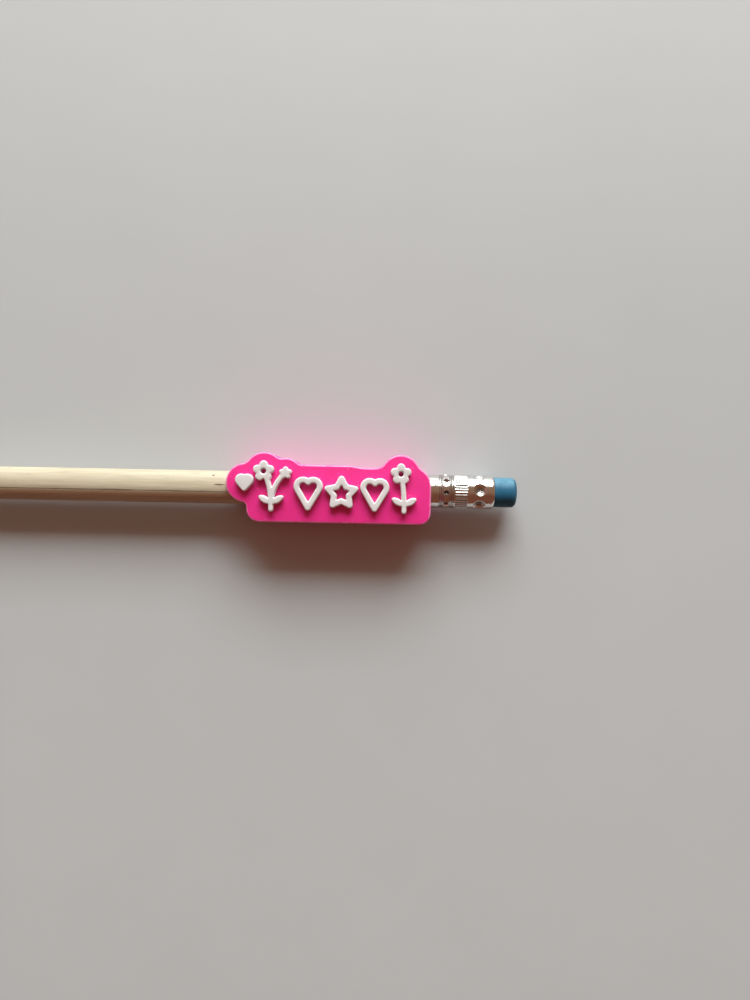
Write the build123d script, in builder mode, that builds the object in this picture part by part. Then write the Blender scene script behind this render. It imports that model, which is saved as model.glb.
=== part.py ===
"""Round wooden pencil with a crimped eraser and a printed plate that slides along its barrel.

Frame: +X along the pencil to the eraser, +Y across it, +Z out of the plate's decorated face.
The origin is the middle of the plate's flat back, under the pencil's axis. Millimetres.
"""
import os
from math import acos, asin, atan2, cos, degrees, hypot, radians, sin, tan

from build123d import *

# Pencil
pencil_length = 190.0
barrel_diameter = 7.3
core_diameter = 2.2
point_angle = 21.0
lead_tip_radius = 0.25
glue_gap = 0.02
seam_lean = 17.5

# Ferrule
ferrule_length = 15.6
ferrule_wall = 0.22
ferrule_step = 0.05
ferrule_on_wood = 8.4
rim_curl = 0.36
reed_height = 0.08
reed_depth = 0.14
reed_count = 36
reed_start = 6.95
reed_width = 2.7
punch_count = 8
punch_place = 5.05
punch_radius = 0.6
punch_depth = 0.26
punch_turn = 5.0
dent_count = 6
dent_place = 12.35
dent_radius = 2.1
dent_depth = 0.55
dent_turn = -8.0
groove_depth = 0.06
groove_spread = 1.3

# Eraser
eraser_showing = 5.2
eraser_gap = 0.02
eraser_ease = 0.17
eraser_round = 0.9
neck_length = 0.4

# Printed plate
bore_clearance = 0.14
back_wall = 1.6
front_wall = 1.6
upper_wall = 1.16
lower_wall = 3.5
plate_length = 44.4
left_wall_inset = 4.65
upper_right_radius = 4.2
lower_right_radius = 2.4
lower_left_radius = 2.7
upper_left_radius = 0.5
dip_place = 8.7
dip_depth = 0.45
dip_half_width = 3.7
blend_radius = 0.8
edge_round = 0.4
eraser_reach = 19.25

# White decoration
relief_height = 1.5
rim = 2.25
stem_stroke = 1.1
outline_stroke = 1.3
charm_inset = 4.35
charm_level = 1.0
charm_width = 4.0
charm_height = 3.8
charm_stroke = 1.0
blossom_radius = 2.3
blossom_rim = 1.9
petal_share = 0.4
eye_radius = 0.55
left_blossom_inset = 8.4
left_blossom_level = 3.5
right_blossom_inset = 6.6
right_blossom_level = 3.4
bud_inset = 13.1
bud_level = 3.2
bud_radius = 1.4
left_stem_inset = 10.1
right_stem_inset = 5.85
stem_fork = 1.2
leaf_length = 3.3
leaf_width = 1.5
leaf_lift = 32.0
motif_gap = 0.35
heart_share = 0.3175
heart_height = 7.3
bow_spread = 0.78
waist_share = 0.533

# Radii and stations that follow from the sizes above
barrel_radius = barrel_diameter / 2
core_radius = core_diameter / 2
tube_radius = barrel_radius + ferrule_step
reed_radius = tube_radius + reed_height
tube_inner = tube_radius - ferrule_wall
tenon_radius = tube_inner - glue_gap
plug_radius = tube_inner - eraser_gap
eraser_radius = plug_radius - eraser_ease
bore_radius = reed_radius + bore_clearance
axis_height = back_wall + bore_radius
face_height = axis_height + bore_radius + front_wall

plate_right = plate_length / 2
eraser_end = plate_right + eraser_reach
ferrule_end = eraser_end - eraser_showing
ferrule_start = ferrule_end - ferrule_length
tenon_end = ferrule_start + ferrule_on_wood
tip_end = eraser_end - pencil_length
point_slope = tan(radians(point_angle / 2))
point_base = tip_end + (barrel_radius - lead_tip_radius) / point_slope
core_shoulder = tip_end + (core_radius - lead_tip_radius) / point_slope

axis_line = Axis((0, 0, axis_height), (1, 0, 0))
side_plane = Plane((0, 0, axis_height), x_dir=(1, 0, 0), z_dir=(0, -1, 0))
cross_plane = Plane((0, 0, axis_height), x_dir=(0, 1, 0), z_dir=(1, 0, 0))
seam_normal = (0, cos(radians(seam_lean)), sin(radians(seam_lean)))
seam_plane = Plane((0, 0, axis_height), x_dir=(1, 0, 0), z_dir=seam_normal)
face_plane = Plane.XY.offset(face_height)


def ring_of_balls(count, place, ball_radius, depth, turn, growth):
    """Balls around the tube that press `depth` into its outside, `growth` larger in radius."""
    orbit = tube_radius - depth + ball_radius
    with BuildPart() as balls:
        with Locations(cross_plane.offset(ferrule_start + place)):
            with PolarLocations(orbit, count, start_angle=90 + turn):
                Sphere(ball_radius + growth)
    return balls.part


def crimps(growth):
    """All the marks pressed into the ferrule, `growth` larger than on its outside."""
    punches = ring_of_balls(punch_count, punch_place, punch_radius, punch_depth, punch_turn, growth)
    dents = ring_of_balls(dent_count, dent_place, dent_radius, dent_depth, dent_turn, growth)
    return [punches, dents]


def barrel_slat(keep):
    """Half of the wooden barrel, with its half of the lead groove and of the tenon."""
    groove_radius = core_radius + glue_gap
    groove_mouth = tip_end + (groove_radius - lead_tip_radius) / point_slope
    with BuildPart() as slat:
        with BuildSketch(side_plane):
            with BuildLine():
                Polyline(
                    (groove_mouth, groove_radius),
                    (point_base, barrel_radius),
                    (ferrule_start, barrel_radius),
                    (ferrule_start, tenon_radius),
                    (tenon_end, tenon_radius),
                    (tenon_end, groove_radius),
                    close=True,
                )
            make_face()
        revolve(axis=axis_line)
        add(crimps(ferrule_wall + glue_gap), mode=Mode.SUBTRACT)
        split(bisect_by=seam_plane, keep=keep)
    return slat.part


def heart(width, height, line, filled):
    """Heart drawn with one line, centred in its width and height, open or `filled`."""
    bow_radius = (width - line) / (2 + 2 * bow_spread)
    bow_place = bow_spread * bow_radius
    depth = height - line - bow_radius
    level = height / 2 - line / 2 - bow_radius
    start = 180 - degrees(acos(bow_spread))
    lean = degrees(atan2(bow_place, depth) + asin(bow_radius / hypot(bow_place, depth)))
    with BuildSketch() as shape:
        with BuildLine() as loop:
            bow = CenterArc((bow_place, level), bow_radius, start, -start - lean)
            Line(bow @ 1, (0, level - depth))
            mirror(about=Plane.YZ)
        if filled:
            make_face()
        for edge in loop.edges():
            SlotArc(edge, line)
    return shape.sketch


def star_outline(radius, waist, line):
    """Five-pointed star drawn with one line, `radius` and `waist` to the middle of the line."""
    points = []
    for index in range(10):
        reach = (radius, waist)[index % 2]
        turn = radians(90 + 36 * index)
        points.append((reach * cos(turn), reach * sin(turn)))
    with BuildSketch() as shape:
        with BuildLine(mode=Mode.PRIVATE) as zigzag:
            Polyline(*points, close=True)
        for edge in zigzag.edges():
            SlotArc(edge, line)
    return shape.sketch


def blossom(radius):
    """Five round petals within `radius`."""
    petal_radius = petal_share * radius
    with BuildSketch() as shape:
        Circle(radius - petal_radius)
        with PolarLocations(radius - petal_radius, 5, start_angle=90):
            Circle(petal_radius)
    return shape.sketch


def leaf(length, width):
    """Pointed leaf along X, with its stalk at the origin."""
    with BuildSketch() as shape:
        with BuildLine():
            ThreePointArc((0, 0), (length / 2, width / 2), (length, 0))
            ThreePointArc((length, 0), (length / 2, -width / 2), (0, 0))
        make_face()
    return shape.sketch


# Wooden barrel, two slats glued along a seam
with BuildPart() as slat_rear:
    add(barrel_slat(Keep.TOP))
slat_rear.part.label = "barrel_slat_rear"

with BuildPart() as slat_front:
    add(barrel_slat(Keep.BOTTOM))
slat_front.part.label = "barrel_slat_front"

# Lead, sharpened to a blunt tip
with BuildPart() as core:
    with BuildSketch(side_plane):
        with BuildLine():
            Polyline(
                (tip_end, 0),
                (tip_end, lead_tip_radius),
                (core_shoulder, core_radius),
                (tenon_end, core_radius),
                (tenon_end, 0),
                close=True,
            )
        make_face()
    revolve(axis=axis_line)
core.part.label = "graphite_core"

# Ferrule, a thin tube with a reeded band and crimp marks
with BuildPart() as ferrule:
    with BuildSketch(side_plane):
        with BuildLine():
            Polyline(
                (ferrule_start, 0),
                (ferrule_start, tube_radius),
                (ferrule_start + reed_start, tube_radius),
                (ferrule_start + reed_start, reed_radius),
                (ferrule_start + reed_start + reed_width, reed_radius),
                (ferrule_start + reed_start + reed_width, tube_radius),
                (ferrule_end, tube_radius),
                (ferrule_end, 0),
                close=True,
            )
        make_face()
    revolve(axis=axis_line)
    with BuildSketch(cross_plane.offset(ferrule_start + reed_start)):
        with PolarLocations(reed_radius, reed_count):
            RegularPolygon(reed_depth, 4)
    extrude(amount=reed_width, mode=Mode.SUBTRACT)
    for station in (punch_place - groove_spread, punch_place + groove_spread):
        with BuildSketch(side_plane):
            with Locations((ferrule_start + station, tube_radius)):
                RegularPolygon(groove_depth, 4)
        revolve(axis=axis_line, mode=Mode.SUBTRACT)
    add(crimps(0), mode=Mode.SUBTRACT)
    with BuildPart(mode=Mode.PRIVATE) as ferrule_inside:
        with BuildSketch(side_plane):
            with BuildLine():
                Polyline(
                    (ferrule_start, 0),
                    (ferrule_start, tube_inner),
                    (ferrule_end - neck_length, tube_inner),
                    (ferrule_end, tube_inner - rim_curl),
                    (ferrule_end, 0),
                    close=True,
                )
            make_face()
        revolve(axis=axis_line)
        add(crimps(ferrule_wall), mode=Mode.SUBTRACT)
    add(ferrule_inside.part, mode=Mode.SUBTRACT)
ferrule.part.label = "ferrule"

# Rubber plug, squeezed at the ferrule's mouth and by its dents
with BuildPart() as eraser:
    plug_start = tenon_end + glue_gap
    neck_start = ferrule_end - neck_length - eraser_gap
    neck_radius = plug_radius - rim_curl
    with BuildSketch(side_plane):
        with BuildLine():
            Polyline(
                (plug_start, 0),
                (plug_start, plug_radius),
                (neck_start, plug_radius),
                (ferrule_end - eraser_gap, neck_radius),
                (ferrule_end + eraser_gap, neck_radius),
                (ferrule_end + eraser_gap, eraser_radius),
                (eraser_end, eraser_radius),
                (eraser_end, 0),
                close=True,
            )
        make_face()
    revolve(axis=axis_line)
    fillet(eraser.edges().group_by(Axis.X)[-1], eraser_round)
    add(crimps(ferrule_wall + eraser_gap), mode=Mode.SUBTRACT)
eraser.part.label = "eraser"

# Printed plate with the bore for the pencil
plate_left = -plate_right
charm_place = (plate_left + charm_inset, charm_level)
left_blossom_place = (plate_left + left_blossom_inset, left_blossom_level)
bud_place = (plate_left + bud_inset, bud_level)
right_blossom_place = (plate_right - right_blossom_inset, right_blossom_level)
block_top = bore_radius + upper_wall
block_bottom = -bore_radius - lower_wall
block_left = plate_left + left_wall_inset
lobes = [
    (charm_place, charm_width / 2 + rim),
    (left_blossom_place, blossom_radius + blossom_rim),
    (bud_place, bud_radius + blossom_rim),
    (right_blossom_place, blossom_radius + blossom_rim),
]
with BuildPart() as block:
    with BuildSketch() as outline:
        with BuildLine():
            FilletPolyline(
                (block_left, block_top),
                (block_left, block_bottom),
                (plate_right, block_bottom),
                (plate_right, block_top),
                radius=(upper_left_radius, lower_left_radius, lower_right_radius, upper_right_radius),
                close=True,
            )
        make_face()
        dip_radius = (dip_half_width**2 + dip_depth**2) / (2 * dip_depth)
        with Locations((dip_place, block_top - dip_depth + dip_radius)):
            Circle(dip_radius, mode=Mode.SUBTRACT)
        for place, lobe_radius in lobes:
            with Locations(place):
                Circle(lobe_radius)
        offset(amount=blend_radius, kind=Kind.ARC, mode=Mode.REPLACE)
        offset(amount=-blend_radius, kind=Kind.ARC, mode=Mode.REPLACE)
    extrude(amount=face_height)
    fillet(block.faces().filter_by(Plane.XY).edges(), edge_round)
    with BuildSketch(cross_plane):
        Circle(bore_radius)
    extrude(amount=plate_length, both=True, mode=Mode.SUBTRACT)
block.part.label = "topper_block"

# White decoration, each piece standing on the plate's face
baseline = block_bottom + rim
headline = block_top - rim
foot = baseline + stem_stroke / 2
leaf_span = leaf_length * cos(radians(leaf_lift))
left_stem_foot = plate_left + left_stem_inset
right_stem_foot = plate_right - right_stem_inset

# The two hearts and the star share the row between the flowers
row_left = bud_place[0] + bud_radius + motif_gap
row_right = right_stem_foot - leaf_span - motif_gap
row_width = row_right - row_left - 2 * motif_gap
heart_width = heart_share * row_width
star_width = row_width - 2 * heart_width
star_radius = (star_width - outline_stroke) / (2 * cos(radians(18)))
left_heart_place = row_left + heart_width / 2
star_place = row_left + heart_width + motif_gap + star_width / 2
right_heart_place = row_right - heart_width / 2

with BuildPart() as charm:
    with BuildSketch(face_plane):
        with Locations(charm_place):
            add(heart(charm_width, charm_height, charm_stroke, True))
    extrude(amount=relief_height)
charm.part.label = "relief_charm"

with BuildPart() as left_flower:
    with BuildSketch(face_plane):
        fork = (left_stem_foot, foot + stem_fork)
        with BuildLine(mode=Mode.PRIVATE) as left_stems:
            Line((left_stem_foot, foot), fork)
            TangentArc(fork, left_blossom_place, tangent=(0, 1))
            TangentArc(fork, bud_place, tangent=(0, 1))
        for edge in left_stems.edges():
            SlotArc(edge, stem_stroke)
        with Locations(fork):
            for turn in (leaf_lift, 180 - leaf_lift):
                add(leaf(leaf_length, leaf_width), rotation=turn)
        with Locations(left_blossom_place):
            add(blossom(blossom_radius))
            Circle(eye_radius, mode=Mode.SUBTRACT)
        with Locations(bud_place):
            add(blossom(bud_radius))
    extrude(amount=relief_height)
left_flower.part.label = "relief_left_flower"

with BuildPart() as left_heart:
    with BuildSketch(face_plane):
        with Locations((left_heart_place, (baseline + headline) / 2)):
            add(heart(heart_width, heart_height, outline_stroke, False))
    extrude(amount=relief_height)
left_heart.part.label = "relief_left_heart"

with BuildPart() as star:
    with BuildSketch(face_plane):
        with Locations((star_place, headline - star_radius - outline_stroke / 2)):
            add(star_outline(star_radius, waist_share * star_radius, outline_stroke))
    extrude(amount=relief_height)
star.part.label = "relief_star"

with BuildPart() as right_heart:
    with BuildSketch(face_plane):
        with Locations((right_heart_place, (baseline + headline) / 2)):
            add(heart(heart_width, heart_height, outline_stroke, False))
    extrude(amount=relief_height)
right_heart.part.label = "relief_right_heart"

with BuildPart() as right_flower:
    with BuildSketch(face_plane):
        fork = (right_stem_foot, foot + stem_fork)
        with BuildLine(mode=Mode.PRIVATE) as right_stems:
            Line((right_stem_foot, foot), fork)
            TangentArc(fork, right_blossom_place, tangent=(0, 1))
        for edge in right_stems.edges():
            SlotArc(edge, stem_stroke)
        with Locations(fork):
            for turn in (leaf_lift, 180 - leaf_lift):
                add(leaf(leaf_length, leaf_width), rotation=turn)
        with Locations(right_blossom_place):
            add(blossom(blossom_radius))
            Circle(eye_radius, mode=Mode.SUBTRACT)
    extrude(amount=relief_height)
right_flower.part.label = "relief_right_flower"

os.makedirs("parts", exist_ok=True)
export_step(slat_rear.part, "parts/barrel_slat_rear.step")
export_step(slat_front.part, "parts/barrel_slat_front.step")
export_step(core.part, "parts/graphite_core.step")
export_step(ferrule.part, "parts/ferrule.step")
export_step(eraser.part, "parts/eraser.step")
export_step(block.part, "parts/topper_block.step")
export_step(charm.part, "parts/relief_charm.step")
export_step(left_flower.part, "parts/relief_left_flower.step")
export_step(left_heart.part, "parts/relief_left_heart.step")
export_step(star.part, "parts/relief_star.step")
export_step(right_heart.part, "parts/relief_right_heart.step")
export_step(right_flower.part, "parts/relief_right_flower.step")
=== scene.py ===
"""Looks of a round wooden pencil with a crimped eraser and a printed plate that slides along it.

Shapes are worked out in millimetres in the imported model's frame and scaled to metres at the end.
+X runs along the pencil to the eraser, +Y across the plate and +Z out of its decorated face.
"""
import logging
import math
import random
from dataclasses import dataclass
from enum import Enum
from typing import Callable, NamedTuple, Sequence, Union

import bpy
import numpy as np
from bpy.types import ID, Material, Mesh, Node, NodeTree, Object
from bpy.types import NodeSocket as Socket
from mathutils import Matrix, Vector


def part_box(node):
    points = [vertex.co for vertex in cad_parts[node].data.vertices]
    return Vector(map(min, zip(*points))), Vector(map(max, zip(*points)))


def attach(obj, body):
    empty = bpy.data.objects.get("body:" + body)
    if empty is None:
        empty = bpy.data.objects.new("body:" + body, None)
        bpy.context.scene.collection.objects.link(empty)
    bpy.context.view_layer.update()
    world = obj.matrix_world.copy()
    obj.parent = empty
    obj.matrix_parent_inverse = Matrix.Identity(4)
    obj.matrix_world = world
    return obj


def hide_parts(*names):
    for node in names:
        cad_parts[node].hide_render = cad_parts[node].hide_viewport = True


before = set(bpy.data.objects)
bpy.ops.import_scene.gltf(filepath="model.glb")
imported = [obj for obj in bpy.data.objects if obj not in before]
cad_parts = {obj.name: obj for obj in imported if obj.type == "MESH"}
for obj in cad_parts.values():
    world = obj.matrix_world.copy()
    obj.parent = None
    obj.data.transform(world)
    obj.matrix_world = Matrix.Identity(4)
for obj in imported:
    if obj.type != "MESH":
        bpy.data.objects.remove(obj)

LOG = logging.getLogger("pencil_scene")
METRE = 0.001
FULL_TURN = 2 * math.pi
QUARTER_TURN = math.pi / 2
UP_ANGLE = 90.0
Colour = tuple[float, float, float]


class Body(str, Enum):
    """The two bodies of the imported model."""

    PENCIL = "pencil"
    TOPPER = "topper"


class Slot(str, Enum):
    """The record's material slots."""

    WOOD = "wood"
    LEAD = "lead"
    FERRULE = "ferrule_metal"
    ERASER = "eraser_rubber"
    PINK = "pink_print"
    WHITE = "white_print"


class Half(Enum):
    """The two glued slats of the barrel, by the node they stand for."""

    REAR = "barrel_slat_rear"
    FRONT = "barrel_slat_front"


class Mark(str, Enum):
    """The two rings of marks in the ferrule, by the start of their inputs' names."""

    PUNCH = "Punch"
    DENT = "Dent"


class Tree(Enum):
    """Types of node tree, each with the type of its outputs."""

    SHADER = ("ShaderNodeTree", "NodeSocketFloat")
    GEOMETRY = ("GeometryNodeTree", "NodeSocketGeometry")


class Kind(str, Enum):
    """Types of the input sockets that have no default."""

    VECTOR = "NodeSocketVector"
    OBJECT = "NodeSocketObject"
    MATERIAL = "NodeSocketMaterial"


PLAIN_KINDS = {float: "NodeSocketFloat", int: "NodeSocketInt", bool: "NodeSocketBool"}


def node_box(node: str) -> tuple[Vector, Vector]:
    """Lowest and highest corner of a CAD node, in millimetres."""
    low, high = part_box(node)
    return low / METRE, high / METRE


def linked(name: str, data: ID) -> Object:
    """Put a new object in the scene.

    Args:
        name: The object's name.
        data: Its mesh, curve, light or camera.

    Returns:
        The object.
    """
    thing = bpy.data.objects.new(name, data)
    bpy.context.scene.collection.objects.link(thing)
    return thing


def arithmetic(operation: str, swapped: bool = False) -> Callable[["Value", "Input"], "Value"]:
    """Make a method of Value that adds a Math node.

    Args:
        operation: The node's operation.
        swapped: Whether the other value comes first.

    Returns:
        The method.
    """

    def method(value: "Value", other: "Input") -> "Value":
        """This value and another, put through the node."""
        return value.wiring.calc(operation, *((other, value) if swapped else (value, other)))

    return method


@dataclass(eq=False)
class Value:
    """An output in a node tree, with arithmetic that adds Math nodes."""

    wiring: "Wiring"
    socket: Socket

    __add__ = __radd__ = arithmetic("ADD")
    __sub__, __rsub__ = arithmetic("SUBTRACT"), arithmetic("SUBTRACT", swapped=True)
    __mul__ = __rmul__ = arithmetic("MULTIPLY")
    __truediv__, __rtruediv__ = arithmetic("DIVIDE"), arithmetic("DIVIDE", swapped=True)


Input = Union[Value, Socket, ID, Sequence[float], str, float, None]


class Wiring:
    """A node tree with short calls that add a node, set it and join it."""

    mix_inputs = (0, 6, 7)
    mix_output = 2

    def __init__(self, tree: NodeTree) -> None:
        """Keep the tree that the calls work on."""
        self.tree = tree

    def feed(self, socket: Socket, value: Input) -> None:
        """Join an output to an input socket, or set the socket's own value.

        Args:
            socket: The input socket.
            value: An output, a plain value, or None to leave the input as it is.
        """
        source = value.socket if isinstance(value, Value) else value
        if isinstance(source, Socket):
            self.tree.links.new(source, socket)
        elif source is not None:
            socket.default_value = source

    def add(self, kind: str, *values: Input, **settings: object) -> Node:
        """Add a node with its settings, and its inputs in order.

        Args:
            kind: The node's type name.
            values: One value or output per input, None to leave that input as it is.
            settings: Properties of the node, set before its inputs.

        Returns:
            The new node.
        """
        node = self.tree.nodes.new(kind)
        for name, value in settings.items():
            setattr(node, name, value)
        for socket, value in zip(node.inputs, values):
            self.feed(socket, value)
        return node

    def out(self, kind: str, *values: Input, **settings: object) -> Value:
        """First output of a node that is added as by add."""
        return Value(self, self.add(kind, *values, **settings).outputs[0])

    def calc(self, operation: str, *values: Input) -> Value:
        """Output of a Math node on up to three values."""
        return self.out("ShaderNodeMath", *values, operation=operation)

    def vector(self, x: Input, y: Input, z: Input) -> Value:
        """A vector from its parts."""
        return self.out("ShaderNodeCombineXYZ", x, y, z)

    def parts(self, vector: Input) -> list[Value]:
        """X, Y and Z of a vector."""
        return [Value(self, output) for output in self.add("ShaderNodeSeparateXYZ", vector).outputs]

    def scaled(self, vector: Input, factors: Input) -> Value:
        """A vector times another, part by part."""
        return self.out("ShaderNodeVectorMath", vector, factors, operation="MULTIPLY")

    def noise(self, vector: Input, scale: Input, detail: float, rough: float) -> Value:
        """A noise texture's factor."""
        return self.out("ShaderNodeTexNoise", vector, None, scale, detail, rough)

    def smooth(self, value: Input, low: Input, high: Input) -> Value:
        """A smooth step of value, from 0 at low to 1 at high."""
        return self.out("ShaderNodeMapRange", value, low, high, 0.0, 1.0, interpolation_type="SMOOTHSTEP")

    def ramp(self, value: Input, first: float, last: float) -> Value:
        """A value from 0 to 1, made to run from first to last."""
        return self.out("ShaderNodeMapRange", value, 0.0, 1.0, first, last)

    def blend(self, share: Input, first: Input, second: Input) -> Value:
        """Mix two colours.

        Args:
            share: How much of the second, from 0 to 1.
            first: A plain colour or an output.
            second: A plain colour or an output.

        Returns:
            The mixed colour.
        """
        node = self.add("ShaderNodeMix", data_type="RGBA")
        for index, value in zip(self.mix_inputs, (share, first, second)):
            self.feed(node.inputs[index], rgba(value) if isinstance(value, tuple) else value)
        return Value(self, node.outputs[self.mix_output])

    def merged(self, geometry: Input, distance: float) -> Value:
        """A mesh whose points nearer than a distance are merged."""
        return self.out("GeometryNodeMergeByDistance", geometry, None, distance)

    def stored(self, geometry: Input, name: str, value: Input) -> Value:
        """A geometry with a number stored on its points under a name."""
        return self.out("GeometryNodeStoreNamedAttribute", geometry, None, name, value,
                        data_type="FLOAT", domain="POINT")

    def dressed(self, geometry: Input, finish: Input) -> Value:
        """A geometry with its instances made real and its material set."""
        real = self.out("GeometryNodeRealizeInstances", geometry)
        return self.out("GeometryNodeSetMaterial", real, None, finish)


def rgba(colour: Colour) -> tuple[float, float, float, float]:
    """A linear colour with full opacity."""
    return (*colour, 1.0)


class Group(NamedTuple):
    """A node group under construction: its wiring, its inputs by name and its output node."""

    wiring: Wiring
    given: dict[str, Value]
    sink: Node


def new_group(name: str, kind: Tree, inputs: dict[str, Kind | float], *outputs: str) -> Group:
    """Start a node group with named sockets.

    Args:
        name: The group's name.
        kind: The type of tree.
        inputs: Socket name to its default, or to its type where it has none.
        outputs: Names of the output sockets.

    Returns:
        The group.
    """
    tree_type, output_type = kind.value
    tree = bpy.data.node_groups.new(name, tree_type)
    for label, default in inputs.items():
        bare = isinstance(default, Kind)
        socket_type = default.value if bare else PLAIN_KINDS[type(default)]
        socket = tree.interface.new_socket(label, in_out="INPUT", socket_type=socket_type)
        if not bare:
            socket.default_value = default
    for label in outputs:
        tree.interface.new_socket(label, in_out="OUTPUT", socket_type=output_type)
    wiring = Wiring(tree)
    source = wiring.add("NodeGroupInput")
    given = {label: Value(wiring, source.outputs[label]) for label in inputs}
    return Group(wiring, given, wiring.add("NodeGroupOutput"))


class Effects:
    """Shader groups that more than one finish uses. Vectors are in millimetres."""

    drift_scale = 3.0
    speck_drift = 0.45
    speck_edge = (0.34, 0.16)
    fibre_step = (0.28, 0.72)
    band_pitch = (0.028, 0.85, 0.85)
    band_step = (0.37, 0.63)
    pore_pitch = (0.42, 5.2, 5.2)
    pore_step = (0.66, 0.76)
    flat_step = (0.9, 0.99)
    bead_wander = 0.12
    grit_scale = 5.5
    wear_and_highlight_step = (0.2, 0.55)

    def __init__(self) -> None:
        """Build each group once."""
        self.speckle = self._speckle()
        self.blotches = self._blotches()
        self.fibre = self._fibre()
        self.print_skin = self._print_skin()
        self.edge_wear_and_highlight = self._edge_wear_and_highlight()

    def _speckle(self) -> NodeTree:
        """Build scattered small round specks.

        Returns:
            The group's tree.
        """
        inputs = {"Vector": Kind.VECTOR, "Size": 1.0, "Density": 0.2}
        w, given, sink = new_group("Speckle", Tree.SHADER, inputs, "Mask")
        scale = 1.0 / given["Size"]
        drift = w.add("ShaderNodeTexNoise", given["Vector"], None, scale * self.drift_scale, 1.0, 0.5)
        bent = w.add("ShaderNodeVectorMath", drift.outputs["Color"], operation="SCALE")
        w.feed(bent.inputs["Scale"], given["Size"] * self.speck_drift)
        moved = w.out("ShaderNodeVectorMath", given["Vector"], bent.outputs[0], operation="ADD")
        cells = w.add("ShaderNodeTexVoronoi", moved, None, scale)
        shade = w.out("ShaderNodeSeparateColor", cells.outputs["Color"])
        spot = w.smooth(cells.outputs["Distance"], *self.speck_edge)
        w.feed(sink.inputs["Mask"], w.calc("LESS_THAN", shade, given["Density"]) * spot)
        return w.tree

    def _blotches(self) -> NodeTree:
        """Build a cloudy uneven tone.

        Returns:
            The group's tree.
        """
        inputs = {"Vector": Kind.VECTOR, "Size": 1.0, "Contrast": 1.0}
        w, given, sink = new_group("Blotches", Tree.SHADER, inputs, "Tone")
        noise = w.noise(given["Vector"], 1.0 / given["Size"], detail=3.0, rough=0.55)
        tone = (noise - 0.5) * given["Contrast"] + 0.5
        w.feed(sink.inputs["Tone"], w.out("ShaderNodeClamp", tone))
        return w.tree

    def _fibre(self) -> NodeTree:
        """Build fibres and pores that run along X, with the slower bands of growth rings.

        Returns:
            The group's tree.
        """
        inputs = {"Vector": Kind.VECTOR, "Width": 0.2, "Length": 6.0}
        w, given, sink = new_group("Wood Fibre", Tree.SHADER, inputs, "Fibre", "Band", "Pore")
        fine, slow = 1.0 / given["Width"], 1.0 / given["Length"]
        for label, pitch, detail, rough, step in (
            ("Fibre", w.vector(slow, fine, fine), 4.0, 0.6, self.fibre_step),
            ("Band", self.band_pitch, 2.0, 0.5, self.band_step),
            ("Pore", self.pore_pitch, 1.0, 0.5, self.pore_step),
        ):
            noise = w.noise(w.scaled(given["Vector"], pitch), 1.0, detail, rough)
            w.feed(sink.inputs[label], w.smooth(noise, *step))
        return w.tree

    def _print_skin(self) -> NodeTree:
        """Build the height of slanting beads on faces that point up or down, and of a fine grit.

        Returns:
            The group's tree.
        """
        inputs = {"Vector": Kind.VECTOR, "Normal": Kind.VECTOR, "Bead": 0.42, "Grit": 0.3}
        w, given, sink = new_group("Print Skin", Tree.SHADER, inputs, "Height")
        x, y, _ = w.parts(given["Vector"])
        flat = w.smooth(w.calc("ABSOLUTE", w.parts(given["Normal"])[2]), *self.flat_step)
        wander = w.noise(given["Vector"], scale=0.7, detail=2.0, rough=0.5)
        turns = (wander * self.bead_wander + (x + y)) / (given["Bead"] * math.sqrt(2))
        crest = w.calc("POWER", w.calc("PINGPONG", turns, 0.5) * 2.0, 0.5) * flat
        grit = w.noise(given["Vector"], self.grit_scale, detail=3.0, rough=0.6)
        w.feed(sink.inputs["Height"], grit * given["Grit"] + crest)
        return w.tree

    def _edge_wear_and_highlight(self) -> NodeTree:
        """Build a mask of rubbed edges and painted edge highlight, broken up by noise.

        Returns:
            The group's tree.
        """
        inputs = {"Edge": 0.0, "Vector": Kind.VECTOR, "Size": 1.0, "Amount": 0.5}
        w, given, sink = new_group("Edge Wear", Tree.SHADER, inputs, "Mask")
        noise = w.noise(given["Vector"], 1.0 / given["Size"], detail=3.0, rough=0.6)
        w.feed(sink.inputs["Mask"], given["Edge"] * w.smooth(noise, *self.wear_and_highlight_step) * given["Amount"])
        return w.tree


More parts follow.
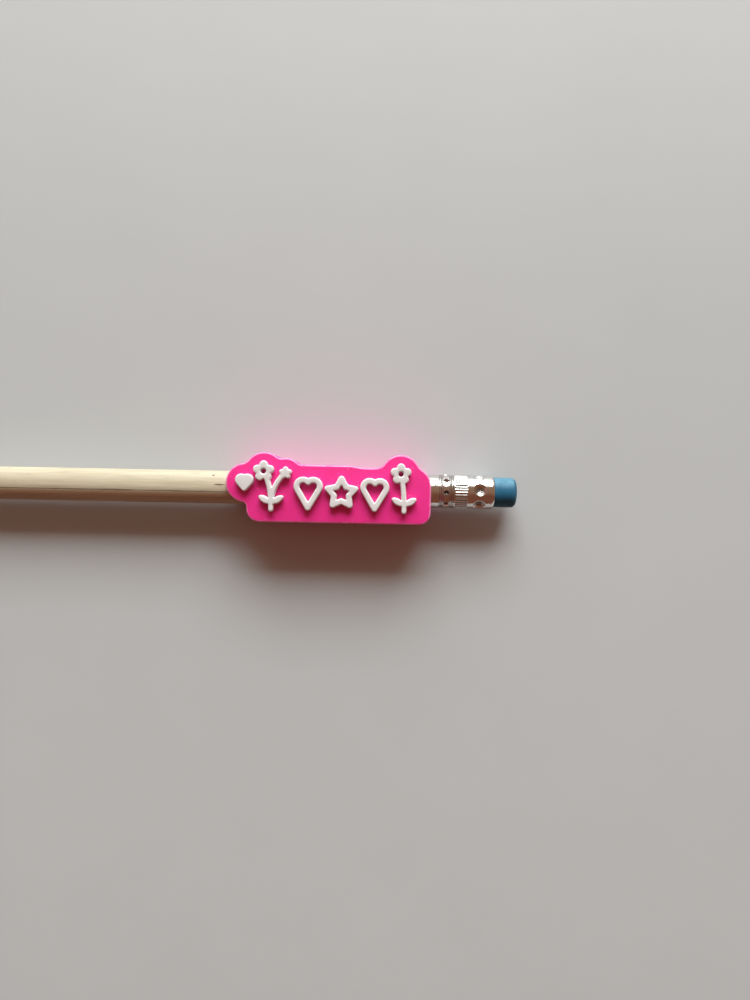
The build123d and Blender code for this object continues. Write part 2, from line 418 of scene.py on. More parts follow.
class Paint:
    """A material under construction: its wiring, millimetre coordinates and shader."""

    def __init__(self, name: str, effects: Effects) -> None:
        """Start a material with a Principled shader and coordinates in millimetres.

        Args:
            name: The material's name.
            effects: The shared shader groups.
        """
        self.effects = effects
        self.material = bpy.data.materials.new(name)
        self.material.use_nodes = True
        self.wiring = Wiring(self.material.node_tree)
        self.shader = self.material.node_tree.nodes["Principled BSDF"]
        place = self.wiring.add("ShaderNodeTexCoord")
        mapping = self.wiring.add("ShaderNodeMapping", place.outputs["Object"])
        mapping.inputs["Scale"].default_value = (1 / METRE,) * 3
        self.place = Value(self.wiring, mapping.outputs[0])
        self.own_normal = Value(self.wiring, place.outputs["Normal"])
        self.normal = Value(self.wiring, self.wiring.add("ShaderNodeNewGeometry").outputs["Normal"])

    def effect(self, tree: NodeTree, vector: Value | None = None,
               **values: Input) -> dict[str, Value]:
        """Place a shared effect.

        Args:
            tree: The effect's tree.
            vector: Its coordinates, or None for the piece's own.
            values: Its other inputs, by name.

        Returns:
            Its outputs by name.
        """
        node = self.wiring.add("ShaderNodeGroup", node_tree=tree)
        self.wiring.feed(node.inputs["Vector"], self.place if vector is None else vector)
        for label, value in values.items():
            self.wiring.feed(node.inputs[label], value)
        return {output.name: Value(self.wiring, output) for output in node.outputs}

    def tone(self, size: float, contrast: float) -> Value:
        """A cloudy uneven tone."""
        return self.effect(self.effects.blotches, Size=size, Contrast=contrast)["Tone"]

    def specks(self, size: float, density: float, vector: Value | None = None) -> Value:
        """A mask of scattered specks, at the piece's coordinates or at others."""
        return self.effect(self.effects.speckle, vector, Size=size, Density=density)["Mask"]

    def fibre(self, width: float, length: float) -> dict[str, Value]:
        """Fibres, bands and pores that run along X."""
        return self.effect(self.effects.fibre, Width=width, Length=length)

    def worn(self, size: float, amount: float) -> Value:
        """A mask of rubbed edges and painted edge highlight."""
        edge = self.attribute("edge")
        return self.effect(self.effects.edge_wear_and_highlight, Edge=edge, Size=size, Amount=amount)["Mask"]

    def attribute(self, name: str) -> Value:
        """The value of a named attribute of the mesh."""
        node = self.wiring.add("ShaderNodeAttribute", attribute_name=name)
        return Value(self.wiring, node.outputs["Fac"])

    def set(self, **values: Input) -> None:
        """Set the shader's sockets by name, with underscores for spaces."""
        for name, value in values.items():
            self.wiring.feed(self.shader.inputs[name.replace("_", " ")], value)

    def bump(self, height: Value, depth: float, strength: float) -> None:
        """Roughen the shader's normal.

        Args:
            height: The height field, from 0 to 1.
            depth: Depth in millimetres.
            strength: Strength of the effect.
        """
        node = self.wiring.add("ShaderNodeBump")
        node.inputs["Strength"].default_value = strength
        node.inputs["Distance"].default_value = depth * METRE
        self.wiring.feed(node.inputs["Height"], height)
        self.wiring.feed(self.shader.inputs["Normal"], node.outputs[0])


class Finish:
    """A finish, which lays itself on a material."""

    name: str

    def dress(self, paint: Paint) -> None:
        """Lay the finish on a material under construction."""
        raise NotImplementedError

    def material(self, effects: Effects) -> Material:
        """Make a material with the finish.

        Args:
            effects: The shared shader groups.

        Returns:
            The material.
        """
        paint = Paint(self.name, effects)
        self.dress(paint)
        return paint.material


@dataclass(frozen=True)
class PrintFinish(Finish):
    """Printed plastic: beads on flat faces, specks, uneven tone, a wall colour, and edge wear with painted
    highlight.
    """

    name: str
    body: Colour
    deep: Colour
    wall: Colour
    speck: Colour
    worn: Colour
    speck_size: float
    speck_density: float
    edge_amount: float
    glow: float
    glow_reach: Colour
    roughness: tuple[float, float]
    wall_step: tuple[float, float] = (0.75, 0.25)
    speck_mark: float = 0.5
    speck_height: float = 0.6
    index_of_refraction: float = 1.46

    def dress(self, paint: Paint) -> None:
        """Lay the finish on.

        Args:
            paint: The material under construction.
        """
        w = paint.wiring
        skin = paint.effect(paint.effects.print_skin, Normal=paint.normal, Bead=0.42, Grit=0.35)["Height"]
        tone = paint.tone(size=3.4, contrast=1.6)
        specks = paint.specks(size=self.speck_size, density=self.speck_density)
        worn = paint.worn(size=1.1, amount=self.edge_amount)
        upright = w.calc("ABSOLUTE", w.parts(paint.own_normal)[2])
        colour = w.blend(tone, self.deep, self.body)
        # Side walls take their own colour; on the pink plate this is a painted glow, brighter than the face,
        # that throws more pink light onto the table.
        colour = w.blend(w.smooth(upright, *self.wall_step), colour, self.wall)
        colour = w.blend(specks * self.speck_mark, colour, self.speck)
        # Paler edges, from wear and from a painted highlight.
        colour = w.blend(worn, colour, self.worn)
        paint.set(Base_Color=colour, Roughness=w.ramp(tone, *self.roughness), IOR=self.index_of_refraction)
        paint.set(Subsurface_Weight=self.glow, Subsurface_Radius=self.glow_reach, Subsurface_Scale=METRE)
        paint.bump(specks * self.speck_height + skin, depth=0.02, strength=0.55)


class Streak(NamedTuple):
    """A thin dark streak in the wood: the X and Y of its middle, and half its length and width."""

    x: float
    y: float
    half_length: float
    half_width: float


@dataclass(frozen=True)
class WoodFinish(Finish):
    """Bare sanded light wood with lengthwise fibres, a dark line where the slats meet, and painted shade on
    the front slat.
    """

    axis_height: float
    seam_lean: float
    name: str = "bare_wood"
    pale: Colour = (0.65, 0.575, 0.43)
    dark: Colour = (0.44, 0.365, 0.25)
    pore: Colour = (0.15, 0.10, 0.06)
    seam: Colour = (0.16, 0.105, 0.065)
    # Darker copy of the wood, painted as shade on the front slat below the seam.
    shaded_front_pale: Colour = (0.57, 0.415, 0.27)
    shaded_front_dark: Colour = (0.42, 0.28, 0.17)
    shaded_front_step: tuple[float, float] = (0.05, -0.35)
    seam_step: tuple[float, float] = (0.18, 0.054)
    speck_stretch: tuple[float, float, float] = (0.22, 1.0, 1.0)
    grain_shares: tuple[float, float, float] = (0.45, 0.4, 0.15)
    pore_mark: float = 0.3
    speck_mark: float = 0.5
    most_mark: float = 0.95
    pore_depth: float = 0.7
    roughness: tuple[float, float] = (0.62, 0.5)
    streak_step: tuple[float, float] = (1.0, 0.4)
    streaks: tuple[Streak, ...] = (Streak(-23.8, 0.5, 1.6, 0.24), Streak(-25.3, 2.5, 0.45, 0.2))

    def dress(self, paint: Paint) -> None:
        """Lay the finish on.

        Args:
            paint: The material under construction.
        """
        w = paint.wiring
        fibre = paint.fibre(width=0.16, length=7.0)
        cloud = paint.tone(size=9.0, contrast=1.4)
        fine, slow, cloudy = self.grain_shares
        grain = fibre["Fibre"] * fine + fibre["Band"] * slow + cloud * cloudy
        x, y, z = w.parts(paint.place)
        level = z - self.axis_height
        lean = math.radians(self.seam_lean)
        off_seam = y * math.cos(lean) + level * math.sin(lean)
        lighter = w.blend(grain, self.dark, self.pale)
        # Painted shade: the front slat below the seam is a darker copy of the wood.
        darker = w.blend(grain, self.shaded_front_dark, self.shaded_front_pale)
        colour = w.blend(w.smooth(off_seam, *self.shaded_front_step), lighter, darker)
        drawn_out = w.scaled(paint.place, self.speck_stretch)
        specks = paint.specks(size=0.9, density=0.012, vector=drawn_out)
        marks = fibre["Pore"] * self.pore_mark + specks * self.speck_mark
        upper = w.calc("GREATER_THAN", level, 0.0)
        for streak in self.streaks:
            marks = marks + self.streak_mask(w, x, y, streak) * upper
        colour = w.blend(w.calc("MINIMUM", marks, self.most_mark), colour, self.pore)
        waver = paint.tone(size=2.6, contrast=2.2)
        line = w.smooth(w.calc("ABSOLUTE", off_seam), *self.seam_step) * (waver * 0.5 + 0.5)
        colour = w.blend(line, colour, self.seam)
        paint.set(Base_Color=colour, Roughness=w.ramp(grain, *self.roughness), IOR=1.4)
        paint.bump(grain - fibre["Pore"] * self.pore_depth, depth=0.03, strength=0.5)

    def streak_mask(self, w: Wiring, x: Value, y: Value, streak: Streak) -> Value:
        """Mask of a streak at an X and Y, seen from above."""
        along, across = (x - streak.x) / streak.half_length, (y - streak.y) / streak.half_width
        return w.smooth(w.calc("SQRT", along * along + across * across), *self.streak_step)


@dataclass(frozen=True)
class FerruleFinish(Finish):
    """Bright drawn aluminium with fine marks, and painted shade in its holes, dents, grooves and reed
    valleys.
    """

    name: str = "drawn_aluminium"
    bright: Colour = (0.93, 0.92, 0.90)
    dull: Colour = (0.80, 0.78, 0.75)
    # Colour of the painted shade in the recesses.
    grime: Colour = (0.10, 0.07, 0.06)
    roughness: tuple[float, float] = (0.15, 0.07)
    painted_shade_roughness: float = 0.3
    reed_evenness: float = 0.85
    pit_share: float = 0.5
    fine_share: float = 0.05

    def dress(self, paint: Paint) -> None:
        """Lay the finish on.

        Args:
            paint: The material under construction.
        """
        w = paint.wiring
        tone = paint.tone(size=1.3, contrast=1.8)
        drawn = paint.fibre(width=0.05, length=3.0)["Fibre"]
        pits = paint.specks(size=0.35, density=0.08)
        # Painted shade in the holes, dents, grooves and reed valleys, stored by the tube's tree.
        grime = paint.attribute("grime")
        colour = w.blend(grime, w.blend(tone, self.dull, self.bright), self.grime)
        rough = grime * self.painted_shade_roughness + w.ramp(tone, *self.roughness)
        paint.set(Base_Color=colour, Metallic=1.0, Roughness=rough)
        even = 1.0 - paint.attribute("reeded") * self.reed_evenness
        fine = drawn - pits * self.pit_share
        paint.bump((fine * self.fine_share + tone) * even, depth=0.03, strength=1.0)


@dataclass(frozen=True)
class RubberFinish(Finish):
    """Matte blue rubber with a painted highlight on the lit side, painted shade below, a darker end and
    rubbed edges.
    """

    name: str = "blue_rubber"
    body: Colour = (0.018, 0.13, 0.235)
    deep: Colour = (0.013, 0.10, 0.185)
    # Colour of the painted shade on the lower side, also used for the darker end.
    shade_and_end_colour: Colour = (0.009, 0.062, 0.115)
    # Paler blue that paints both the highlight on the lit side and the rubbed edges.
    worn: Colour = (0.12, 0.285, 0.39)
    dust: Colour = (0.42, 0.86, 1.0)
    crumb: Colour = (0.03, 0.075, 0.12)
    # Direction of the side that faces the light, which gets a painted highlight.
    lit_side: tuple[float, float, float] = (0.0, 0.85, 0.53)
    lit_side_step: tuple[float, float] = (0.68, 1.05)
    lit_side_tone: tuple[float, float] = (0.6, 1.1)
    shade_step: tuple[float, float] = (0.5, -0.35)
    end_step: tuple[float, float] = (0.1, 0.8)
    shade_and_end_amount: float = 0.85
    crumb_amount: float = 0.5
    grain_height: float = 1.4
    roughness: tuple[float, float] = (0.68, 0.56)

    def dress(self, paint: Paint) -> None:
        """Lay the finish on.

        Args:
            paint: The material under construction.
        """
        w = paint.wiring
        tone = paint.tone(size=1.6, contrast=1.7)
        fine = paint.tone(size=0.16, contrast=1.5)
        crumbs = paint.specks(size=0.9, density=0.06)
        worn = paint.worn(size=0.9, amount=0.3)
        # Painted highlight: paler on the side that faces the light.
        turned = w.add("ShaderNodeVectorMath", paint.own_normal, self.lit_side, operation="DOT_PRODUCT")
        facing = turned.outputs["Value"]
        rubbed = w.smooth(facing, *self.lit_side_step) * w.ramp(tone, *self.lit_side_tone)
        outward = w.parts(paint.own_normal)[0]
        # Painted shade on the lower side, and darker at the end.
        shade_and_end = w.calc("MAXIMUM", w.smooth(facing, *self.shade_step), w.smooth(outward, *self.end_step))
        colour = w.blend(tone, self.deep, self.body)
        colour = w.blend(w.calc("MINIMUM", rubbed + worn, 1.0), colour, self.worn)
        colour = w.blend(shade_and_end * self.shade_and_end_amount, colour, self.shade_and_end_colour)
        colour = w.blend(crumbs * self.crumb_amount, colour, self.crumb)
        paint.set(Base_Color=colour, Roughness=w.ramp(fine, *self.roughness), IOR=1.36)
        paint.set(Sheen_Weight=0.4, Sheen_Roughness=0.42, Sheen_Tint=rgba(self.dust))
        paint.bump(tone * self.grain_height + fine, depth=0.025, strength=0.5)


@dataclass(frozen=True)
class LeadFinish(Finish):
    """Graphite with a dull sheen and turning marks."""

    name: str = "graphite"
    body: Colour = (0.045, 0.045, 0.05)
    sheen: Colour = (0.12, 0.12, 0.125)
    roughness: tuple[float, float] = (0.5, 0.32)

    def dress(self, paint: Paint) -> None:
        """Lay the finish on.

        Args:
            paint: The material under construction.
        """
        w = paint.wiring
        tone = paint.tone(size=0.5, contrast=2.0)
        grain = paint.fibre(width=0.06, length=0.9)["Fibre"]
        colour = w.blend(tone, self.body, self.sheen)
        paint.set(Base_Color=colour, Roughness=w.ramp(tone, *self.roughness), Metallic=0.45)
        paint.bump(grain, depth=0.02, strength=0.5)


@dataclass(frozen=True)
class FloorFinish(Finish):
    """Plain pale table top, with painted shade that deepens it a little on the near side."""

    name: str = "pale_table"
    body: Colour = (0.592, 0.602, 0.612)
    deep: Colour = (0.502, 0.511, 0.520)
    near_shade_fade: tuple[float, float] = (20.0, 140.0)
    cloud_share: float = 0.25

    def dress(self, paint: Paint) -> None:
        """Lay the finish on.

        Args:
            paint: The material under construction.
        """
        w = paint.wiring
        cloud = paint.tone(size=26.0, contrast=1.3)
        across = w.parts(paint.place)[1]
        # Painted shade: darker towards the near side.
        tone = cloud * self.cloud_share + w.smooth(across, *self.near_shade_fade) * (1 - self.cloud_share)
        paint.set(Base_Color=w.blend(tone, self.deep, self.body), Roughness=0.62, IOR=1.4)


def stacked(name: str, rings: np.ndarray) -> Mesh:
    """Close a stack of rings into a mesh with flat ends.

    Args:
        name: The mesh's name.
        rings: Points, one row per ring, every ring with as many points.

    Returns:
        The mesh.
    """
    count, around = rings.shape[:2]
    index = np.arange(count * around).reshape(count, around)
    ahead = np.roll(index, -1, axis=1)
    quads = np.stack([index[:-1], ahead[:-1], ahead[1:], index[1:]], axis=-1).reshape(-1, 4)
    faces = [*quads.tolist(), index[0][::-1].tolist(), index[-1].tolist()]
    mesh = bpy.data.meshes.new(name)
    mesh.from_pydata(rings.reshape(-1, 3).tolist(), [], faces)
    mesh.validate()
    return mesh


def skin_mesh(name: str, rings: Sequence[np.ndarray], material: Material, sharp: float,
              edge: Sequence[np.ndarray] | None = None) -> Object:
    """Make a piece from a stack of rings.

    Args:
        name: The piece's name.
        rings: Points in millimetres of each ring.
        material: The finish.
        sharp: Angle in degrees past which an edge is shaded sharp.
        edge: How rubbed each point is, in the shape of the rings, or None.

    Returns:
        The piece, with faces that point outwards.
    """
    mesh = stacked(name, np.array(rings) * METRE)
    if edge is not None:
        rubbed = mesh.attributes.new("edge", "FLOAT", "POINT")
        rubbed.data.foreach_set("value", np.array(edge, np.float32).ravel())
    mesh.materials.append(material)
    return finished(name, mesh, sharp)


def finished(name: str, mesh: Mesh, sharp: float) -> Object:
    """Turn a closed mesh's faces outwards, shade it and put it in the scene.

    Args:
        name: The piece's name.
        mesh: The closed mesh, in metres.
        sharp: Angle in degrees past which an edge is shaded sharp.

    Returns:
        The piece.
    """
    mesh.validate()
    corners = np.empty(len(mesh.vertices) * 3, np.float32)
    mesh.vertices.foreach_get("co", corners)
    corners = corners.reshape(-1, 3).astype(float)
    mesh.calc_loop_triangles()
    triangles = np.empty(len(mesh.loop_triangles) * 3, np.int32)
    mesh.loop_triangles.foreach_get("vertices", triangles)
    first, second, third = (corners[triangles.reshape(-1, 3)[:, k]] for k in range(3))
    if np.einsum("ij,ij->i", first, np.cross(second, third)).sum() < 0:
        mesh.flip_normals()
    mesh.shade_smooth()
    mesh.set_sharp_from_angle(angle=math.radians(sharp))
    return linked(name, mesh)


def place_piece(piece: Object, body: Body, slot: Slot, *nodes: str) -> None:
    """Ride a piece on its body, hide the CAD nodes that it stands for, and report it.

    Args:
        piece: The finished piece.
        body: The body that it moves with.
        slot: The record's material slot; not used.
        nodes: The CAD nodes that it stands for.
    """
    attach(piece, body.value)
    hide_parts(*nodes)
    counts = len(piece.data.vertices), len(piece.data.polygons)
    LOG.info("%s: %d vertices, %d faces, on %s", piece.name, *counts, body.value)


def grown(name: str, tree: NodeTree, values: dict[str, object]) -> Mesh:
    """Run a Geometry Nodes tree and keep its result as a plain mesh in metres.

    Args:
        name: The mesh's name.
        tree: The tree, which works in millimetres.
        values: Value for each of the tree's inputs, by socket name.

    Returns:
        The mesh.
    """
    host = linked(f"{name}_host", bpy.data.meshes.new(f"{name}_host"))
    modifier = host.modifiers.new("grow", "NODES")
    modifier.node_group = tree
    for item in tree.interface.items_tree:
        if item.in_out == "INPUT" and item.name in values:
            modifier[item.identifier] = values[item.name]
    graph = bpy.context.evaluated_depsgraph_get()
    evaluated = host.evaluated_get(graph)
    mesh = bpy.data.meshes.new_from_object(evaluated, preserve_all_data_layers=True, depsgraph=graph)
    host.modifiers.remove(modifier)
    bpy.data.objects.remove(host)
    mesh.name = name
    mesh.transform(Matrix.Scale(METRE, 4))
    return mesh


class PrintedWall:
    """Tree that raises closed outlines in printed layers, with rounded edges and an optional bore."""

    inputs = {
        "Outline": Kind.OBJECT, "Height": 10.0, "Layer": 0.2, "Bulge": 0.03, "Crown Run": 0.4,
        "Crown Rise": 0.4, "Foot Run": 0.3, "Foot Rise": 0.3, "Crown Points": 8, "Bored": False,
        "Bore Tool": Kind.OBJECT, "Finish": Kind.MATERIAL,
    }
    layer_points = 4.0
    weld = 0.0008

    def __init__(self) -> None:
        """Build the tree."""
        self.w, self.given, sink = new_group("Printed Wall", Tree.GEOMETRY, self.inputs, "Geometry")
        self.tree = self.w.tree
        solid = self.bored(self.closed(self.swept(self.profile())))
        self.w.feed(sink.inputs[0], self.w.dressed(solid, self.given["Finish"]))

    def strip(self, count: Input, inset: Input, level: Value, rub: Input) -> Value:
        """A profile line from its fields, as a curve that carries the edge wear and painted edge highlight.

        Args:
            count: Number of points.
            inset: Place of each point across the wall, negative inwards.
            level: Height of each point.
            rub: How much edge wear and painted highlight each point gets.

        Returns:
            The curve.
        """
        line = self.w.out("GeometryNodeMeshLine", count)
        placed = self.w.out("GeometryNodeSetPosition", line, None, self.w.vector(inset, level * -1.0, 0.0))
        return self.w.stored(self.w.out("GeometryNodeMeshToCurve", placed), "edge", rub)

    def profile(self) -> Value:
        """The wall's profile, from its rounded foot over the layers to its rounded crown.

        Returns:
            The profile's curves.
        """
        w, given = self.w, self.given
        index = w.out("GeometryNodeInputIndex")
        inward = given["Bulge"] * -1.0
        wall_rise = given["Height"] - given["Crown Rise"] - given["Foot Rise"]
        steps = w.calc("ROUND", wall_rise / given["Layer"]) * self.layer_points
        level = index / steps * wall_rise + given["Foot Rise"]
        off = 1.0 - w.calc("PINGPONG", index / self.layer_points, 0.5) * 2.0
        hump = w.calc("SQRT", 1.0 - off * off)
        wall = self.strip(steps + 1.0, (1.0 - hump) * inward, level, 0.0)
        turn = index / (given["Crown Points"] - 1.0) * QUARTER_TURN
        rise, run = w.calc("SINE", turn), 1.0 - w.calc("COSINE", turn)
        # How much edge wear and painted highlight each point of the crown and foot gets.
        rubbed = w.calc("SINE", turn * 2.0)
        crown_inset = inward - run * (given["Crown Run"] - given["Bulge"])
        crown_level = rise * given["Crown Rise"] + (given["Height"] - given["Crown Rise"])
        crown = self.strip(given["Crown Points"], crown_inset, crown_level, rubbed)
        foot_inset = inward - (1.0 - rise) * (given["Foot Run"] - given["Bulge"])
        foot = self.strip(given["Crown Points"], foot_inset, run * given["Foot Rise"], rubbed)
        joined = w.add("GeometryNodeJoinGeometry")
        for part in (foot, wall, crown):
            w.feed(joined.inputs[0], part)
        return Value(w, joined.outputs[0])

    def swept(self, profile: Value) -> Value:
        """The open wall: the profile swept along the outlines.

        Args:
            profile: The profile's curves.

        Returns:
            The wall.
        """
        w = self.w
        outline = w.add("GeometryNodeObjectInfo", self.given["Outline"]).outputs["Geometry"]
        sweep = w.add("GeometryNodeCurveToMesh")
        w.feed(sweep.inputs["Curve"], w.out("GeometryNodeSetCurveNormal", outline, mode="Z_UP"))
        w.feed(sweep.inputs["Profile Curve"], profile)
        return w.merged(w.out("GeometryNodeFlipFaces", sweep.outputs[0]), self.weld)

    def closed(self, wall: Value) -> Value:
        """The wall with a lid on its crown and one under its foot.

        Args:
            wall: The open wall.

        Returns:
            The closed shell.
        """
        w, height = self.w, self.given["Height"]
        open_edge = w.calc("COMPARE", w.out("GeometryNodeInputMeshEdgeNeighbors"), 1.0, 0.1)
        level = w.parts(w.out("GeometryNodeInputPosition"))[2]
        upper = w.calc("GREATER_THAN", level, height * 0.5)
        shell = w.add("GeometryNodeJoinGeometry")
        w.feed(shell.inputs[0], wall)
        top = w.out("GeometryNodeMeshToCurve", wall, open_edge * upper)
        top = w.out("GeometryNodeFillCurve", top, mode="TRIANGLES")
        w.feed(shell.inputs[0], w.out("GeometryNodeSetPosition", top, None, None, w.vector(0.0, 0.0, height)))
        base = w.out("GeometryNodeMeshToCurve", wall, open_edge * (1.0 - upper))
        base = w.out("GeometryNodeFillCurve", base, mode="TRIANGLES")
        w.feed(shell.inputs[0], w.out("GeometryNodeFlipFaces", base))
        return w.merged(shell.outputs[0], self.weld)

    def bored(self, shell: Value) -> Value:
        """The shell, with the bore tool taken away where that is asked for.

        Args:
            shell: The closed shell.

        Returns:
            The solid.
        """
        w = self.w
        tool = w.add("GeometryNodeObjectInfo", self.given["Bore Tool"]).outputs["Geometry"]
        cut = w.add("GeometryNodeMeshBoolean", operation="DIFFERENCE", solver="MANIFOLD")
        w.feed(cut.inputs["Mesh 1"], shell)
        w.feed(cut.inputs["Mesh 2"], tool)
        return w.out("GeometryNodeSwitch", self.given["Bored"], shell, cut.outputs[0], input_type="GEOMETRY")


class Spot(NamedTuple):
    """A place on the tube: how far along it, in millimetres, and the angle around it."""

    along: Value
    angle: Value


class CrimpedTube:
    """Tree of a thin tube with a reeded band, rings of crimp marks, fine grooves and a curled mouth."""

    inputs = {
        "Start": 0.0, "Length": 15.0, "Radius": 3.7, "Wall": 0.22, "Axis Height": 5.0, "Columns": 190,
        "Inner Columns": 60, "Around": 396, "Reed Start": 6.95, "Reed Width": 2.7, "Reed Height": 0.08,
        "Reed Depth": 0.14, "Reed Count": 36, "Punch Count": 8, "Punch Place": 5.05, "Punch Ball": 0.55,
        "Punch Depth": 0.5, "Punch Turn": 5.0, "Punch Lean": 0.0, "Punch Soft": 0.05, "Dent Count": 6,
        "Dent Place": 12.35, "Dent Ball": 1.5, "Dent Depth": 0.8, "Dent Turn": -8.0, "Dent Lean": 0.6,
        "Dent Soft": 0.25, "Dent Pinch": 0.5, "Uneven": 0.05, "Groove Depth": 0.11, "Mouth Curl": 0.22,
        "Mouth Run": 0.6, "Finish": Kind.MATERIAL,
    }
    mark_inputs = ("Count", "Place", "Ball", "Depth", "Turn", "Lean", "Soft")
    grooves = ((-1.5, 0.8), (-1.12, 1.0), (-0.74, 0.8), (0.74, 0.8), (1.12, 1.0), (1.5, 0.8))
    groove_width = 0.11
    reed_ramp = 0.07
    pinch_scale = 2.4
    pinch_base = 0.95
    sway_scale = 0.75
    sway_shrink = 0.25
    cut_run = 0.14
    cut_depth = 0.06
    hole_step = (0.25, 0.85)
    dent_step = (0.4, 1.0)
    dent_shade = 0.75
    valley_step = (0.35, 0.8)
    line_shade = 0.8
    weld = 0.001

    def __init__(self) -> None:
        """Build the tree."""
        self.w, self.given, sink = new_group("Crimped Tube", Tree.GEOMETRY, self.inputs, "Geometry")
        self.tree = self.w.tree
        both = self.w.add("GeometryNodeJoinGeometry")
        self.w.feed(both.inputs[0], self.outer_sheet())
        self.w.feed(both.inputs[0], self.inner_sheet())
        closed = self.w.merged(both.outputs[0], self.weld)
        self.w.feed(sink.inputs[0], self.w.dressed(closed, self.given["Finish"]))

    def marks(self, mark: Mark, spot: Spot) -> Value:
        """Work out how deep a ring of ball marks is.

        Args:
            mark: Which ring.
            spot: The place.

        Returns:
            The depth there.
        """
        w = self.w
        names = [f"{mark.value} {label}" for label in self.mark_inputs]
        count, place, ball, depth, turn, lean, soft = (self.given[name] for name in names)
        half = FULL_TURN / count * 0.5
        local = w.calc("WRAP", spot.angle - w.calc("RADIANS", turn + UP_ANGLE), half, half * -1.0)
        arc = local * self.given["Radius"]
        off = spot.along - place
        under = w.calc("MAXIMUM", ball * ball - (arc * arc + off * off), 0.0)
        cap = w.calc("SQRT", under) - (ball - depth)
        return w.calc("SMOOTH_MAX", cap, 0.0, soft) * (arc / ball * lean + 1.0)

    def rings(self, spot: Spot) -> Value:
        """Work out the share of the groove depth.

        Args:
            spot: The place.

        Returns:
            The share there.
        """
        share = 0.0
        for shift, depth in self.grooves:
            off = (spot.along - (self.given["Punch Place"] + shift)) / self.groove_width
            share = self.w.calc("EXPONENT", off * off * -1.0) * depth + share
        return share

    def reeds(self, spot: Spot) -> tuple[Value, Value]:
        """Work out the reeded band.

        Args:
            spot: The place.

        Returns:
            How far it is in the band, from 0 to 1, and how far into a valley.
        """
        w, ramp, start = self.w, self.reed_ramp, self.given["Reed Start"]
        end = start + self.given["Reed Width"]
        band = w.smooth(spot.along, start - ramp, start + ramp) * w.smooth(spot.along, end + ramp, end - ramp)
        turns = spot.angle * (self.given["Reed Count"] / FULL_TURN)
        return band, 1.0 - w.calc("PINGPONG", turns, 0.5) * 2.0

    def wavering(self, spot: Spot, scale: float) -> Value:
        """Work out an uneven field about 0, closed around the turn.

        Args:
            spot: The place.
            scale: Scale of its noise.

        Returns:
            The field there.
        """
        w, radius = self.w, self.given["Radius"]
        across, up = radius * w.calc("COSINE", spot.angle), radius * w.calc("SINE", spot.angle)
        return w.noise(w.vector(spot.along, across, up), scale, detail=2.0, rough=0.5) - 0.5

    def reach(self, spot: Spot) -> Value:
        """Work out the radius of the tube's outside.

        Args:
            spot: The place.

        Returns:
            The radius there.
        """
        w, given = self.w, self.given
        band, valley = self.reeds(spot)
        ridge = given["Reed Height"] - w.calc("POWER", valley, 2.0) * given["Reed Depth"]
        pinch = self.wavering(spot, self.pinch_scale) * given["Dent Pinch"] + self.pinch_base
        shrink = self.wavering(spot, self.sway_scale) - self.sway_shrink
        bent = w.calc("MAXIMUM", 1.0 - (given["Length"] - spot.along) / given["Mouth Run"], 0.0)
        cut = w.calc("MAXIMUM", 1.0 - spot.along / self.cut_run, 0.0)
        radius = given["Radius"] + band * ridge
        radius = radius - self.marks(Mark.PUNCH, spot) - self.marks(Mark.DENT, spot) * pinch
        radius = radius + given["Uneven"] * shrink * (1.0 - band) - self.rings(spot) * given["Groove Depth"]
        return radius - bent * bent * given["Mouth Curl"] - cut * cut * self.cut_depth

    def grid(self, columns: Value) -> tuple[Value, Value, Value]:
        """Make a flat grid to be rolled into a sheet.

        Args:
            columns: Number of points along the tube.

        Returns:
            The grid, and for its points the share of the way along and the angle.
        """
        w = self.w
        flat = w.out("GeometryNodeMeshGrid", 1.0, 1.0, columns, self.given["Around"] + 1.0)
        x, y, _ = w.parts(w.out("GeometryNodeInputPosition"))
        return flat, x + 0.5, (y + 0.5) * FULL_TURN

    def rolled(self, grid: Value, spot: Spot, radius: Value) -> Value:
        """Roll a grid around the axis, and store on it its painted shade and where it is reeded.

        Args:
            grid: The flat grid.
            spot: Place of each point on the tube.
            radius: Radius at each point.

        Returns:
            The sheet.
        """
        w, given = self.w, self.given
        # Painted shade: darken the punch holes, dent bottoms, ring grooves and reed valleys.
        hole = w.smooth(self.marks(Mark.PUNCH, spot) / given["Punch Depth"], *self.hole_step)
        pressed = w.smooth(self.marks(Mark.DENT, spot) / given["Dent Depth"], *self.dent_step)
        band, valley = self.reeds(spot)
        lines = w.calc("MAXIMUM", self.rings(spot), band * w.smooth(valley, *self.valley_step))
        dent_and_line_shade = w.calc("MAXIMUM", pressed * self.dent_shade, lines * self.line_shade)
        marked = w.stored(grid, "grime", w.calc("MAXIMUM", hole, dent_and_line_shade))
        marked = w.stored(marked, "reeded", band)
        z = radius * w.calc("SINE", spot.angle) + given["Axis Height"]
        place = w.vector(spot.along + given["Start"], radius * w.calc("COSINE", spot.angle), z)
        return w.out("GeometryNodeSetPosition", marked, None, place)

    def outer_sheet(self) -> Value:
        """Make the outside with its two rims.

        Returns:
            The sheet.
        """
        w, wall, length = self.w, self.given["Wall"], self.given["Length"]
        grid, run, angle = self.grid(self.given["Columns"])
        path = run * (wall * 2.0 + length) - wall
        spot = Spot(w.calc("MINIMUM", w.calc("MAXIMUM", path, 0.0), length), angle)
        radius = self.reach(spot) - w.calc("ABSOLUTE", path - spot.along)
        return w.out("GeometryNodeFlipFaces", self.rolled(grid, spot, radius))

    def inner_sheet(self) -> Value:
        """Make the inside, a wall's thickness within the outside.

        Returns:
            The sheet.
        """
        grid, run, angle = self.grid(self.given["Inner Columns"])
        spot = Spot(run * self.given["Length"], angle)
        return self.rolled(grid, spot, self.reach(spot) - self.given["Wall"])


